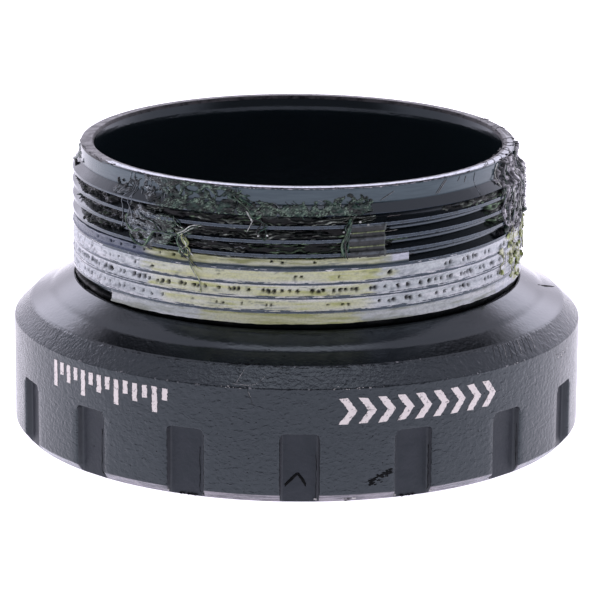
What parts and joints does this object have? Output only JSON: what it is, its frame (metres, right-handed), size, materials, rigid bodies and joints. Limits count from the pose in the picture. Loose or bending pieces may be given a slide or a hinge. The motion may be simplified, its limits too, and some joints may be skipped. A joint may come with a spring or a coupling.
{
  "type": "bottom bracket cup",
  "caption": "Threaded external-bearing bottom bracket cup: notched round flange, sloping shoulder, threaded barrel, sealed ball bearing and dust cover for the crank spindle.",
  "frame": {"origin": "on the cup's axis, in the plane of the outboard face that it stands on", "axes": "+Z along the axis from the outboard face to the threaded inboard end, -Y through the middle of one tool notch"},
  "size_m": [0.044, 0.044, 0.0225],
  "materials": {
    "cup_anodised": "satin black anodised",
    "race_steel": "ground",
    "ball_steel": "polished",
    "cage_nylon": "moulded",
    "seal_rubber": "matte",
    "cover_plastic": "fine moulded",
    "thread_residue": "dried assembly compound",
    "printed_marks": "printed"
  },
  "bodies": {
    "cup": {"cup_body": "cup_anodised", "bearing_outer_race": "race_steel", "bearing_seal_outboard": "seal_rubber", "bearing_seal_inboard": "seal_rubber"},
    "spindle_side": {"bearing_inner_race": "race_steel", "dust_cover": "cover_plastic"},
    "ball_set": {"bearing_cage": "cage_nylon", "ball_01": "ball_steel", "ball_02": "ball_steel", "ball_03": "ball_steel", "ball_04": "ball_steel", "ball_05": "ball_steel", "ball_06": "ball_steel", "ball_07": "ball_steel", "ball_08": "ball_steel", "ball_09": "ball_steel", "ball_10": "ball_steel", "ball_11": "ball_steel", "ball_12": "ball_steel", "ball_13": "ball_steel", "ball_14": "ball_steel", "ball_15": "ball_steel", "ball_16": "ball_steel"}
  },
  "joints": [
    {"name": "spindle_spin", "type": "hinge", "parent": "cup", "child": "spindle_side", "pos_m": [0, 0, 0.0048], "axis": [0, 0, 1], "continuous": true},
    {"name": "cage_spin", "type": "hinge", "parent": "cup", "child": "ball_set", "pos_m": [0, 0, 0.0048], "axis": [0, 0, 1], "continuous": true}
  ],
  "couplings": [
    {"joint": "cage_spin", "follows": "spindle_spin", "ratio": 0.4435}
  ]
}
